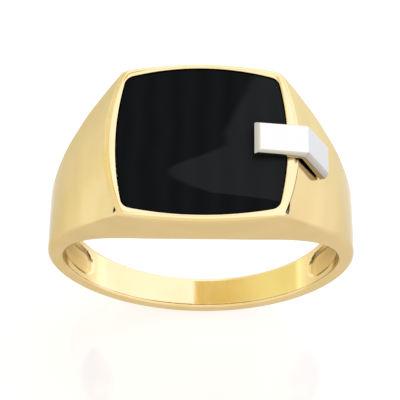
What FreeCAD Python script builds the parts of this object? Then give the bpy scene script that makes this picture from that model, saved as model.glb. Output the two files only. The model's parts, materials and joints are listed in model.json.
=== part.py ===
"""Signet ring with an inlaid onyx table and a bent white-gold accent bar.

Frame: origin at the centre of the finger hole, +Z up through the table, finger axis along Y.
All sizes are millimetres and all angles are degrees from the table, round the finger.
"""
import FreeCAD, Part
import math
import os

from FreeCAD import Vector

# ---- finger hole and shank ----
BORE_R = 9.55                 # size 60: 60 mm round the inside
SHANK_T = 1.12                # shank thickness
SHANK_HALF_W = 1.18           # half the shank's width behind the finger

# ---- stone ----
STONE_HALF_X = 5.48           # across the finger, at mid side
STONE_HALF_Y = 5.39           # along the finger, at mid side
STONE_BOW_X = 0.56            # how far each side bows out from its corners
STONE_BOW_Y = 0.65
STONE_CORNER_R = 0.35
STONE_T = 1.70                # at its middle
STONE_CLEAR = 0.04            # play between the stone's edge and its seat
CEMENT_T = 0.10
TABLE_DOME_R = 67.0           # the table is domed across the finger, like a barrel

# ---- head ----
HEAD_T = 3.35                 # from the finger hole to the top of the stone
RIM_RISE = 0.12               # the rim stands this far above the stone
RIM_SIDE_W = 0.77             # rim width beside the stone, at mid side
RIM_END_W = 0.45
RIM_CORNER_SIDE_W = 0.64      # the same, at the corners
RIM_CORNER_END_W = 0.28
FOOT_TAPER = 0.39             # the head's front wall leans in this far down to the finger hole
SHOULDER_STEP = 0.26          # the shoulders start this far below the rim's corners
SHOULDER_TUCK = 0.09          # and this far below its mid sides

# How the ring flows from head to shank, as shares of the way from one to the other.
# Seen along the finger: (share outwards, share of the height left).
SHOULDER_FLOW = ((0.122, 0.920), (0.260, 0.826), (0.410, 0.726), (0.545, 0.625),
                 (0.667, 0.531), (0.794, 0.409), (0.925, 0.238), (1.0, 0.0))
# Seen round the finger: (angle, share of the head's width left at the hole, and at the outside).
WIDTH_FLOW = ((30, 0.843, 0.919), (40, 0.733, 0.776), (52, 0.593, 0.596), (64, 0.464, 0.443),
              (78, 0.328, 0.307), (96, 0.187, 0.172), (115, 0.091, 0.081), (135, 0.037, 0.031),
              (180, 0.0, 0.0))

# ---- hollows under the shoulders ----
HOLLOW_FLOOR_T = 0.62         # gold left outside each hollow
HOLLOW_TIP_ANGLE = 125.5      # the rounded lower tip
HOLLOW_NECK_ANGLE = 97.0      # where the sides start to open out
HOLLOW_TOP_ANGLE = 57.0
HOLLOW_TIP_WALL = 0.10        # how much narrower than the shank the lower part is, each side
HOLLOW_TOP_WALL = 1.30        # gold beside the hollow's upper end

# ---- accent bar ----
CLIP_T = 0.55
CLIP_HALF_W = 1.15
CLIP_BEVEL = 0.22
CLIP_LAP = 2.87               # how far it laps inwards from the rim's outer edge
CLIP_TILT = 7.5               # the upper leg falls outwards
CLIP_LEG_LEN = 3.25
CLIP_REST_GAP = 0.02          # solder line between the upper leg and the rim
CLIP_GAP = 0.29               # between the lower leg and the shoulder
CLIP_Y = 0.05                 # the bar sits this far behind the ring's middle
POST_R = 0.32
POST_IN_CLIP = 0.28
POST_IN_BODY = 0.80
POST_CLEAR = 0.03
POST_PLACES = (1.15, 2.35)    # along the lower leg from the bend
SOLDER_R = 0.55

# ---- worked out from the sizes above ----
FAR = BORE_R                  # half length of the block that the ring is cut from
UP = Vector(0, 0, 1)
ALONG = Vector(0, 1, 0)
ACROSS = Vector(1, 0, 0)
OUTER_R = BORE_R + SHANK_T
TABLE_Z = BORE_R + HEAD_T
RIM_Z = TABLE_Z + RIM_RISE
SEAT_Z = TABLE_Z - STONE_T - CEMENT_T
RIM_HALF_X = STONE_HALF_X + RIM_SIDE_W
CORNER_X = STONE_HALF_X - STONE_BOW_X + RIM_CORNER_SIDE_W
HEAD_HALF_Y = STONE_HALF_Y + RIM_END_W
CORNER_Y = STONE_HALF_Y - STONE_BOW_Y + RIM_CORNER_END_W
PLAN_SAG = (RIM_HALF_X - CORNER_X) / CORNER_Y ** 2


# ---- small helpers ----
def dome_drop(x):
    """How far the domed table lies below its centre, at this distance across the finger."""
    return TABLE_DOME_R - math.sqrt(TABLE_DOME_R ** 2 - x ** 2)


def bowed(half, bow, reach, place):
    """A side that bows out from its corners: its distance from the middle, at this place."""
    radius = (reach ** 2 + bow ** 2) / (2 * bow)
    return half - radius + math.sqrt(radius ** 2 - place ** 2)


def polar(angle, radius, y=0.0):
    a = math.radians(angle)
    return Vector(radius * math.sin(a), y, radius * math.cos(a))


def finger_cylinder(radius):
    return Part.makeCylinder(radius, 4 * FAR, Vector(0, -2 * FAR, 0), ALONG)


# ---- outline seen along the finger ----
def shoulder_line(inset=0.0):
    """The shoulder at mid width: just above the rim, at the rim, and on down to the widest place."""
    top = RIM_Z - dome_drop(RIM_HALF_X) - SHOULDER_TUCK
    places = [(RIM_HALF_X + (OUTER_R - RIM_HALF_X) * out, top * left) for out, left in SHOULDER_FLOW]
    above = (2 * RIM_HALF_X - places[0][0], 2 * top - places[0][1])
    line = []
    for x, z in [above, (RIM_HALF_X, top)] + places:
        share = 1.0 - inset / math.hypot(x, z)
        line.append((x * share, z * share))
    return line


def front_section(y, inset):
    """One closed outline of the ring without its hole, at this place along the finger."""
    side = []
    for x, z in shoulder_line(inset):
        fade = math.sqrt(min(1.0, z / RIM_Z))
        side.append(Vector(x - PLAN_SAG * fade * y * y, y, z))
    lean = side[1] - side[0]
    down = Vector(0, 0, -1)
    right, left = Part.BSplineCurve(), Part.BSplineCurve()
    right.interpolate(side, InitialTangent=lean, FinalTangent=down)
    left.interpolate([Vector(-p.x, p.y, p.z) for p in side],
                     InitialTangent=Vector(-lean.x, 0, lean.z), FinalTangent=down)
    low = side[-1].x
    bottom = Part.Arc(Vector(low, y, 0), Vector(0, y, -low), Vector(-low, y, 0))
    lid = Part.makeLine(Vector(-side[0].x, y, side[0].z), side[0])
    return Part.Wire([lid, right.toShape(), bottom.toShape(), left.toShape().reversed()])


def front_block(inset=0.0):
    """The ring's shape along the finger: a loft whose shoulders are barrelled to follow the rim."""
    places = (-FAR, -CORNER_Y, -CORNER_Y / 2, 0.0, CORNER_Y / 2, CORNER_Y, FAR)
    return Part.makeLoft([front_section(y, inset) for y in places], True, False)


# ---- width round the finger ----
def half_widths():
    """Rows of (angle, half width at the finger hole, half width at the rim's height)."""
    rows = []
    for angle in (0, 10, 20):
        x = RIM_Z * math.sin(math.radians(angle))
        high = bowed(HEAD_HALF_Y, HEAD_HALF_Y - CORNER_Y, CORNER_X, x)
        rows.append((angle, high - FOOT_TAPER * (1 - (angle / 30) ** 2), high))
    foot = HEAD_HALF_Y - FOOT_TAPER
    for angle, low, high in WIDTH_FLOW:
        rows.append((angle, SHANK_HALF_W + (foot - SHANK_HALF_W) * low,
                     SHANK_HALF_W + (CORNER_Y - SHANK_HALF_W) * high))
    return rows


def width_at(angle):
    """Half the ring's width at the finger hole, between two rows of the table above."""
    rows = half_widths()
    for (a, low_a, _), (b, low_b, _) in zip(rows, rows[1:]):
        if a <= angle <= b:
            return low_a + (low_b - low_a) * (angle - a) / (b - a)


def edge_curve(radius, side):
    """A closed line on a drum round the finger axis that follows one edge of the ring."""
    share = (radius - BORE_R) / (RIM_Z - BORE_R)
    rows = half_widths()
    rows = rows + [(360 - a, low, high) for a, low, high in reversed(rows[1:-1])]
    points = [polar(angle, radius, side * (low + (high - low) * share)) for angle, low, high in rows]
    curve = Part.BSplineCurve()
    curve.interpolate(points, PeriodicFlag=True)
    return curve.toShape()


def width_block():
    """Everything between the ring's two side faces, hollow at the middle."""
    drums = (BORE_R - SHANK_T, RIM_Z + HEAD_T)
    front_in, front_out = [edge_curve(radius, -1) for radius in drums]
    back_in, back_out = [edge_curve(radius, 1) for radius in drums]
    pairs = ((front_in, front_out), (front_out, back_out), (back_out, back_in), (back_in, front_in))
    shell = Part.makeShell([Part.makeRuledSurface(a, b) for a, b in pairs])
    shell.sewShape()
    solid = Part.makeSolid(shell)
    if solid.Volume < 0:
        solid.reverse()
    return solid


# ---- head ----
def under_dome(top, depth):
    """Everything under the barrel-domed table, down to a flat floor."""
    drum = Part.makeCylinder(TABLE_DOME_R, 4 * FAR, Vector(0, -2 * FAR, top - TABLE_DOME_R), ALONG)
    box = Part.makeBox(4 * FAR, 4 * FAR, depth, Vector(-2 * FAR, -2 * FAR, top - depth))
    return box.common(drum)


def stone_block(grow, low, high):
    """An upright block with the stone's cushion outline, or the same grown all round."""
    half_x, half_y = STONE_HALF_X + grow, STONE_HALF_Y + grow
    corner_x, corner_y = half_x - STONE_BOW_X, half_y - STONE_BOW_Y
    mids = [Vector(half_x, 0, low), Vector(0, half_y, low), Vector(-half_x, 0, low), Vector(0, -half_y, low)]
    corners = [Vector(corner_x, -corner_y, low), Vector(corner_x, corner_y, low),
               Vector(-corner_x, corner_y, low), Vector(-corner_x, -corner_y, low)]
    edges = [Part.Arc(corners[i], mids[i], corners[(i + 1) % 4]).toShape() for i in range(4)]
    block = Part.Face(Part.Wire(edges)).extrude(UP * (high - low))
    upright = [e for e in block.Edges if abs(e.tangentAt(e.FirstParameter).dot(UP)) > 0.999]
    return block.makeFillet(STONE_CORNER_R + grow, upright)


def rim_block():
    """The raised rim before its seat is cut: two bowed sides, cut off square beyond the ring's width."""
    reach = HEAD_HALF_Y + HEAD_T / 2
    end_x = bowed(RIM_HALF_X, RIM_HALF_X - CORNER_X, CORNER_Y, reach)
    corners = [Vector(end_x, -reach, BORE_R), Vector(end_x, reach, BORE_R),
               Vector(-end_x, reach, BORE_R), Vector(-end_x, -reach, BORE_R)]
    edges = [Part.Arc(corners[0], Vector(RIM_HALF_X, 0, BORE_R), corners[1]).toShape(),
             Part.makeLine(corners[1], corners[2]),
             Part.Arc(corners[2], Vector(-RIM_HALF_X, 0, BORE_R), corners[3]).toShape(),
             Part.makeLine(corners[3], corners[0])]
    block = Part.Face(Part.Wire(edges)).extrude(UP * (RIM_Z + HEAD_T))
    return block.common(under_dome(RIM_Z, RIM_Z - BORE_R))


# ---- hollows ----
def hollow(side):
    """One hollow under a shoulder: a rounded mouth, pushed outwards as far as its floor allows."""
    x = side * BORE_R * 0.4
    half_low = SHANK_HALF_W - HOLLOW_TIP_WALL
    half_top = width_at(HOLLOW_TOP_ANGLE) - HOLLOW_TOP_WALL
    tip_z = polar(HOLLOW_TIP_ANGLE, BORE_R).z
    neck_z = polar(HOLLOW_NECK_ANGLE, BORE_R).z
    top_z = polar(HOLLOW_TOP_ANGLE, BORE_R).z
    round_z, shoulder_z = tip_z + half_low, top_z - half_top / 2
    low_l, low_r = Vector(x, -half_low, round_z), Vector(x, half_low, round_z)
    neck_l, neck_r = Vector(x, -half_low, neck_z), Vector(x, half_low, neck_z)
    top_l, top_r = Vector(x, -half_top, shoulder_z), Vector(x, half_top, shoulder_z)
    edges = [Part.Arc(low_l, Vector(x, 0, tip_z), low_r).toShape(), Part.makeLine(low_r, neck_r),
             Part.makeLine(neck_r, top_r), Part.Arc(top_r, Vector(x, 0, top_z), top_l).toShape(),
             Part.makeLine(top_l, neck_l), Part.makeLine(neck_l, low_l)]
    mouth = Part.Face(Part.Wire(edges)).extrude(ACROSS * side * 2 * BORE_R)
    return mouth.common(front_block(HOLLOW_FLOOR_T))


# ---- accent bar ----
def clip_lines():
    """The bar seen along the finger: outside points from its inner end to its foot, and into-leg direction."""
    tilt = math.radians(CLIP_TILT)
    rim_edge_z = RIM_Z - dome_drop(RIM_HALF_X)
    rest = Vector(RIM_HALF_X, 0, rim_edge_z + CLIP_REST_GAP + CLIP_T / math.cos(tilt))
    outwards = Vector(math.cos(tilt), 0, -math.sin(tilt))
    near = [Vector(x, 0, z) for x, z in shoulder_line()[1:6]]
    down = (near[3] - near[0]).normalize()
    inward = Vector(down.z, 0, -down.x)
    proudest = min(near, key=lambda p: p.dot(inward))
    face = proudest.dot(inward) - CLIP_GAP - CLIP_T
    bend = rest + outwards * ((face - rest.dot(inward)) / outwards.dot(inward))
    inner = rest - outwards * (CLIP_LAP / math.cos(tilt))
    return inner, bend, bend + down * CLIP_LEG_LEN, inward


def post(place, radius, extra=0.0):
    """One round post from inside the bar's lower leg into the shoulder."""
    _, bend, foot, inward = clip_lines()
    down = (foot - bend).normalize()
    start = bend + down * place + inward * (CLIP_T - POST_IN_CLIP) + ALONG * CLIP_Y
    length = POST_IN_CLIP + CLIP_GAP + POST_IN_BODY + extra
    return Part.makeCylinder(radius, length, start, inward)


def bar_blank():
    """The bent bar before its edges are bevelled, with the normals of its two outside faces."""
    inner, bend, foot, inward = clip_lines()
    tilt = math.radians(CLIP_TILT)
    under = Vector(-math.sin(tilt), 0, -math.cos(tilt))
    split = (under + inward).normalize()
    crook = bend + split * (CLIP_T / split.dot(under))
    corners = [inner, bend, foot, foot + inward * CLIP_T, crook, inner + under * CLIP_T, inner]
    blank = Part.Face(Part.makePolygon(corners)).extrude(ALONG * 2 * CLIP_HALF_W)
    blank.translate(ALONG * (CLIP_Y - CLIP_HALF_W))
    return blank, ((inner, under), (foot, inward))


# ---- pieces ----
def ring_body():
    block = front_block().common(under_dome(RIM_Z - SHOULDER_STEP, 4 * FAR))
    body = block.fuse(rim_block()).common(width_block())
    cuts = [finger_cylinder(BORE_R), stone_block(STONE_CLEAR, SEAT_Z, RIM_Z + HEAD_T), hollow(-1), hollow(1)]
    cuts += [post(place, POST_R + POST_CLEAR, POST_CLEAR) for place in POST_PLACES]
    for tool in cuts:
        body = body.cut(tool)
    return body.removeSplitter()


def onyx_stone():
    block = stone_block(0.0, TABLE_Z - STONE_T, TABLE_Z + STONE_T)
    return block.common(under_dome(TABLE_Z, 2 * STONE_T))


def stone_cement():
    return stone_block(0.0, SEAT_Z, SEAT_Z + CEMENT_T)


def accent_clip():
    """The bent bar, bevelled round its outside faces except across the bend."""
    blank, faces = bar_blank()
    bend = clip_lines()[1]
    bevelled = []
    for edge in blank.Edges:
        middle = edge.CenterOfMass
        outside = [abs((middle - point).dot(normal)) < 1e-6 for point, normal in faces]
        if any(outside) and (middle - bend).cross(ALONG).Length > 1e-6:
            bevelled.append(edge)
    bar = blank.makeChamfer(CLIP_BEVEL, bevelled)
    for place in POST_PLACES:
        bar = bar.cut(post(place, POST_R))
    return bar


def clip_posts():
    return Part.makeCompound([post(place, POST_R) for place in POST_PLACES])


def post_solder(body, bar):
    """A collar of solder round each post, filling the gap between the bar and the shoulder."""
    collars = []
    for place in POST_PLACES:
        peg = post(place, POST_R)
        collar = post(place, SOLDER_R, -POST_IN_BODY / 2)
        collars.append(collar.cut(peg).cut(bar).cut(body))
    return Part.makeCompound(collars)


def main():
    os.makedirs("parts", exist_ok=True)
    body, bar = ring_body(), accent_clip()
    nodes = {"ring_body": body, "onyx_stone": onyx_stone(), "stone_cement": stone_cement(),
             "accent_clip": bar, "clip_posts": clip_posts(), "post_solder": post_solder(body, bar)}
    for name, shape in nodes.items():
        shape.exportStep("parts/%s.step" % name)
        print("%-13s solids %d valid %s volume %.3f" % (name, len(shape.Solids), shape.isValid(), shape.Volume))


main()
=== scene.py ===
"""Looks of a signet ring: cast yellow gold, a domed onyx table and a bent white-gold bar.

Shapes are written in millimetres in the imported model's own frame and turned to metres when a mesh is made.
Each visible shape is a field, negative inside the metal or stone, which one function skins with quads.
A field is asked for at places x (across the finger), y (along it) and z (up), all in mm.
"""
import json
import logging
import math
from dataclasses import dataclass, field
from enum import Enum
from typing import Callable, Dict, List, Sequence, Tuple

import bpy
import numpy as np
from mathutils import Matrix, Vector


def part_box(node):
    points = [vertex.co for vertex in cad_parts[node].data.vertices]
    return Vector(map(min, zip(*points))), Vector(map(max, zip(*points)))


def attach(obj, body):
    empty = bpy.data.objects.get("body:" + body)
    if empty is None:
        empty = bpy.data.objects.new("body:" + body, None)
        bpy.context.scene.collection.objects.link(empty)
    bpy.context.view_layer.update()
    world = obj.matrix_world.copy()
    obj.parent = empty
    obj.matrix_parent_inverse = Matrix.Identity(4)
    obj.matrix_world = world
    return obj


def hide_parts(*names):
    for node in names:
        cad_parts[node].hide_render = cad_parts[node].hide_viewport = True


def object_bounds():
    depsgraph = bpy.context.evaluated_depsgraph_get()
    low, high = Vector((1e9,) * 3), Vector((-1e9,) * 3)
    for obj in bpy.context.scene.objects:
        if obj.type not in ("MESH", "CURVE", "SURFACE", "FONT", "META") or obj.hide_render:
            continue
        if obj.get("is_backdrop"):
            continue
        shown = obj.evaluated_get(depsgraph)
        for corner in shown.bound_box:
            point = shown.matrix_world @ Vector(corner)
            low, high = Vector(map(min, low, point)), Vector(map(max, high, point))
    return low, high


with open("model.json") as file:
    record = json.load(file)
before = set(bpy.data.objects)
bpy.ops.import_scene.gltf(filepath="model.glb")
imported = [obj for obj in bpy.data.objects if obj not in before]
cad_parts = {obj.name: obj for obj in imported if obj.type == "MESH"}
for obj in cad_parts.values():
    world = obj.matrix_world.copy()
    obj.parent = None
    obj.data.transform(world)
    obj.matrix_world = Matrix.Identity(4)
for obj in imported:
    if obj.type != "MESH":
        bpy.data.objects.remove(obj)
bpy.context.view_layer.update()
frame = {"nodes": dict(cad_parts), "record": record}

LOG = logging.getLogger("signet_ring")
MM = 0.001
BODY = "root"
FAR = 2.0                          # mm; nothing needs to know distances within the rim beyond this
SETTLING_ROUNDS = 4                # how often each vertex is pulled on to its surface
LEAST_SLOPE = 0.2                  # of a field, squared, when a vertex is pulled
LONGEST_PULL = 0.06                # mm
Grid = Tuple[np.ndarray, np.ndarray, np.ndarray]
Field = Callable[[np.ndarray, np.ndarray, np.ndarray], np.ndarray]


# ------------------------------------------------------------------ fields
def round_max(a: np.ndarray, b: np.ndarray, radius: float) -> np.ndarray:
    """Intersection of two fields with its outside edge rounded.

    Args:
        a: first field, in mm.
        b: second field, in mm.
        radius: radius of the rounded edge, in mm; a number or an array.

    Returns:
        The joined field.
    """
    hard = np.maximum(a, b)
    rounded = np.hypot(np.maximum(a + radius, 0), np.maximum(b + radius, 0)) - radius
    return np.where(hard > -radius, rounded, hard)


def share_of(value: np.ndarray, span: float) -> np.ndarray:
    """How far a value has come across a span, from 0 to 1."""
    return np.clip(value / span, 0, 1)


def bowed(half: float, bow: float, reach: float, place: np.ndarray) -> np.ndarray:
    """A side that bows out between its corners.

    Args:
        half: its distance from the middle at mid side, in mm.
        bow: how much nearer its corners lie, in mm.
        reach: how far along the side its corners lie, in mm.
        place: where along the side it is asked for, in mm.

    Returns:
        The side's distance from the middle at each place.
    """
    radius = (reach ** 2 + bow ** 2) / (2 * bow)
    least = 1.0  # mm2, so that the root stays real at grid points far outside
    return half - radius + np.sqrt(np.maximum(radius ** 2 - place ** 2, least))


@dataclass
class Flow:
    """A smooth line through a few chosen points, level at its start (and at its end where asked)."""

    at: Sequence[float]
    values: Sequence[float]
    level_end: bool = False
    bends: np.ndarray = field(init=False)

    def __post_init__(self) -> None:
        """Solves for the bend at each point, so that slope and bend run on from span to span."""
        x, y = np.asarray(self.at, float), np.asarray(self.values, float)
        n, h = len(x), np.diff(x)
        slopes = np.diff(y) / h
        system, right = np.zeros((n, n)), np.zeros(n)
        system[0, :2], right[0] = (2 * h[0], h[0]), 6 * slopes[0]
        for i in range(1, n - 1):
            system[i, i - 1:i + 2] = h[i - 1], 2 * (h[i - 1] + h[i]), h[i]
            right[i] = 6 * (slopes[i] - slopes[i - 1])
        system[-1, -1] = 1.0
        if self.level_end:
            system[-1, -2:], right[-1] = (h[-1], 2 * h[-1]), -6 * slopes[-1]
        self.bends = np.linalg.solve(system, right)

    def read(self, place: np.ndarray) -> Tuple[np.ndarray, np.ndarray]:
        """Reads the line; beyond its ends it runs on straight.

        Args:
            place: where it is asked for.

        Returns:
            Its value and its slope at each place.
        """
        x, y, m = np.asarray(self.at, float), np.asarray(self.values, float), self.bends
        inside = np.clip(place, x[0], x[-1])
        i = np.clip(np.searchsorted(x, inside) - 1, 0, len(x) - 2)
        h, t = x[i + 1] - x[i], inside - x[i]
        s = h - t
        rise = (y[i + 1] - y[i]) / h
        slope = (m[i + 1] * t ** 2 - m[i] * s ** 2) / (2 * h) + rise - h * (m[i + 1] - m[i]) / 6
        value = ((m[i] * s ** 3 + m[i + 1] * t ** 3) / (6 * h) + (y[i] / h - m[i] * h / 6) * s
                 + (y[i + 1] / h - m[i + 1] * h / 6) * t)
        return value + slope * (place - inside), slope


def gradient(shape: Field, points: np.ndarray, step: float = 0.004) -> np.ndarray:
    """Finds the direction in which a field grows.

    Args:
        shape: the field.
        points: rows of X, Y and Z, in mm.
        step: how far to either side the field is compared, in mm.

    Returns:
        The field's slope along X, Y and Z at each point.
    """
    parts = []
    for axis in range(3):
        shift = np.zeros(3)
        shift[axis] = step
        ahead, behind = points + shift, points - shift
        parts.append((shape(*ahead.T) - shape(*behind.T)) / (2 * step))
    return np.stack(parts, axis=1)


def steps(low: float, high: float, pitch: float) -> np.ndarray:
    """Even places from low to high, about one pitch apart."""
    return np.linspace(low, high, max(2, int(math.ceil((high - low) / pitch)) + 1))


def graded(half: float, pitch: float, fine: float, zone: Tuple[float, float]) -> np.ndarray:
    """Places from -half to half that lie closer together inside a zone.

    Args:
        half: how far they reach to either side of the middle, in mm.
        pitch: how far apart they are, in mm.
        fine: how far apart they are inside the zone, in mm.
        zone: where it starts and ends, on either side of the middle, in mm.

    Returns:
        The places, in order.
    """
    start, end = zone
    out = np.concatenate([steps(0.0, start, pitch), steps(start, end, fine)[1:], steps(end, half, pitch)[1:]])
    return np.concatenate([-out[:0:-1], out])


def quads_across(inside: np.ndarray, index: np.ndarray, axis: int) -> np.ndarray:
    """Quads round every grid edge along one axis whose two ends lie on different sides of the surface.

    Args:
        inside: which grid points lie inside.
        index: number of the vertex in each cell.
        axis: 0, 1 or 2.

    Returns:
        One row of four vertex numbers per quad, counter-clockwise from outside.
    """
    u, v = (axis + 1) % 3, (axis + 2) % 3
    near, far = [slice(None)] * 3, [slice(None)] * 3
    near[axis], far[axis] = slice(None, -1), slice(1, None)
    for across in (u, v):
        near[across] = far[across] = slice(1, -1)
    start, end = inside[tuple(near)], inside[tuple(far)]
    places = np.argwhere(start != end)
    leaving = start[tuple(places.T)]
    corners = []
    for du, dv in ((0, 0), (1, 0), (1, 1), (0, 1)):
        cell = places.copy()
        cell[:, u] += du
        cell[:, v] += dv
        corners.append(index[tuple(cell.T)])
    quads = np.stack(corners, axis=1)
    quads[~leaving] = quads[~leaving][:, ::-1]
    return quads


def skin(shape: Field, axes: Grid) -> Tuple[np.ndarray, np.ndarray]:
    """Skins a field with quads: one vertex in each grid cell that the surface crosses.

    Args:
        shape: the field, in mm.
        axes: the grid's places along X, Y and Z, in mm.

    Returns:
        Vertices in mm, on the surface, and rows of four vertex numbers.
    """
    values = np.empty([len(a) for a in axes], np.float32)
    for i, x in enumerate(axes[0]):
        y, z = np.meshgrid(axes[1], axes[2], indexing="ij")
        values[i] = shape(np.full_like(y, x), y, z)
    inside = values < 0
    near, far = slice(None, -1), slice(1, None)
    corner_cuts = [(a, b, c) for a in (near, far) for b in (near, far) for c in (near, far)]
    count = sum(inside[cut].astype(np.int8) for cut in corner_cuts)
    active = (count > 0) & (count < len(corner_cuts))
    cells = np.argwhere(active)
    index = np.full(active.shape, -1, np.int64)
    index[active] = np.arange(len(cells))
    total, crossings = np.zeros((len(cells), 3)), np.zeros(len(cells))
    offsets = [np.array([a, b, c]) for a in (0, 1) for b in (0, 1) for c in (0, 1)]
    for first in offsets:
        for second in offsets:
            if (second - first).sum() != 1 or (second < first).any():
                continue
            p, q = cells + first, cells + second
            fp, fq = values[tuple(p.T)], values[tuple(q.T)]
            crossed = (fp < 0) != (fq < 0)
            share = np.where(crossed, fp / np.where(crossed, fp - fq, 1.0), 0.0)[:, None]
            start = np.stack([axes[k][p[:, k]] for k in range(3)], axis=1)
            end = np.stack([axes[k][q[:, k]] for k in range(3)], axis=1)
            total += np.where(crossed[:, None], start + share * (end - start), 0.0)
            crossings += crossed
    points = total / crossings[:, None]
    for _ in range(SETTLING_ROUNDS):
        slope = gradient(shape, points)
        size = np.maximum((slope ** 2).sum(axis=1), LEAST_SLOPE)
        pull = shape(*points.T)[:, None] * slope / size[:, None]
        points = points - np.clip(pull, -LONGEST_PULL, LONGEST_PULL)
    faces = np.concatenate([quads_across(inside, index, axis) for axis in range(3)])
    return points, faces


def to_mesh(name: str, shape: Field, axes: Grid, marks: Dict[str, Field]) -> bpy.types.Object:
    """Makes a Blender object from a field.

    Args:
        name: the piece's name.
        shape: the field, in mm.
        axes: the grid to skin it on, in mm.
        marks: further fields that the finishes read, stored with each vertex.

    Returns:
        The new object, in metres, with normals taken from the field itself.
    """
    points, faces = skin(shape, axes)
    mesh = bpy.data.meshes.new(name)
    mesh.from_pydata((points * MM).tolist(), [], faces.tolist())
    mesh.polygons.foreach_set("use_smooth", np.ones(len(faces), bool))
    normals = gradient(shape, points)
    normals /= np.maximum(np.linalg.norm(normals, axis=1, keepdims=True), 1e-9)
    mesh.normals_split_custom_set_from_vertices(normals.tolist())
    for mark, values in marks.items():
        layer = mesh.attributes.new(mark, "FLOAT", "POINT")
        layer.data.foreach_set("value", values(*points.T).astype(np.float32))
    mesh.update()
    piece = bpy.data.objects.new(name, mesh)
    bpy.context.scene.collection.objects.link(piece)
    LOG.info("%s: %d vertices, %d faces", name, len(points), len(faces))
    return piece


# ------------------------------------------------------------------ materials
class Slot(Enum):
    """Names of the part's materials; no piece in this script is given one."""

    GOLD = "yellow_gold"
    ONYX = "black_onyx"
    WHITE_GOLD = "white_gold"


FACTOR, COLOUR_A, COLOUR_B, MIXED = 0, 6, 7, 2     # a colour mix's sockets, which share their names with others
EASED = {"interpolation_type": "SMOOTHSTEP"}       # maps a range with soft ends
WAVE_TURN = 0.3                                    # m, about how often a wave texture of scale 1 repeats


def linear(code: str) -> Tuple[float, float, float, float]:
    """Turns an sRGB hex colour such as "#e8c070" to the linear colour that the shader takes."""
    channels = [int(code[i:i + 2], 16) / 255 for i in (1, 3, 5)]
    return tuple(c / 12.92 if c <= 0.04045 else ((c + 0.055) / 1.055) ** 2.4 for c in channels) + (1.0,)


def add_node(tree: bpy.types.NodeTree, kind: str, settings: dict, links: dict) -> bpy.types.Node:
    """Adds one node with its settings and links.

    Args:
        tree: the node tree.
        kind: the node's type.
        settings: values, by attribute name, or by socket name or number.
        links: for each socket name or number, the (node, output) that feeds it.

    Returns:
        The new node.
    """
    made = tree.nodes.new(kind)
    for key, value in settings.items():
        if isinstance(key, str) and hasattr(made, key):
            setattr(made, key, value)
        else:
            made.inputs[key].default_value = value
    for key, (source, output) in links.items():
        tree.links.new(source.outputs[output], made.inputs[key])
    return made


def new_material(name: str) -> Tuple[bpy.types.Material, bpy.types.NodeTree]:
    """Starts an empty node material.

    Args:
        name: what it is called.

    Returns:
        The material and its node tree.
    """
    material = bpy.data.materials.new(name)
    material.use_nodes = True
    material.node_tree.nodes.clear()
    return material, material.node_tree


def dress(piece: bpy.types.Object, material: bpy.types.Material) -> None:
    """Gives a piece one material."""
    piece.data.materials.clear()
    piece.data.materials.append(material)


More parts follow.
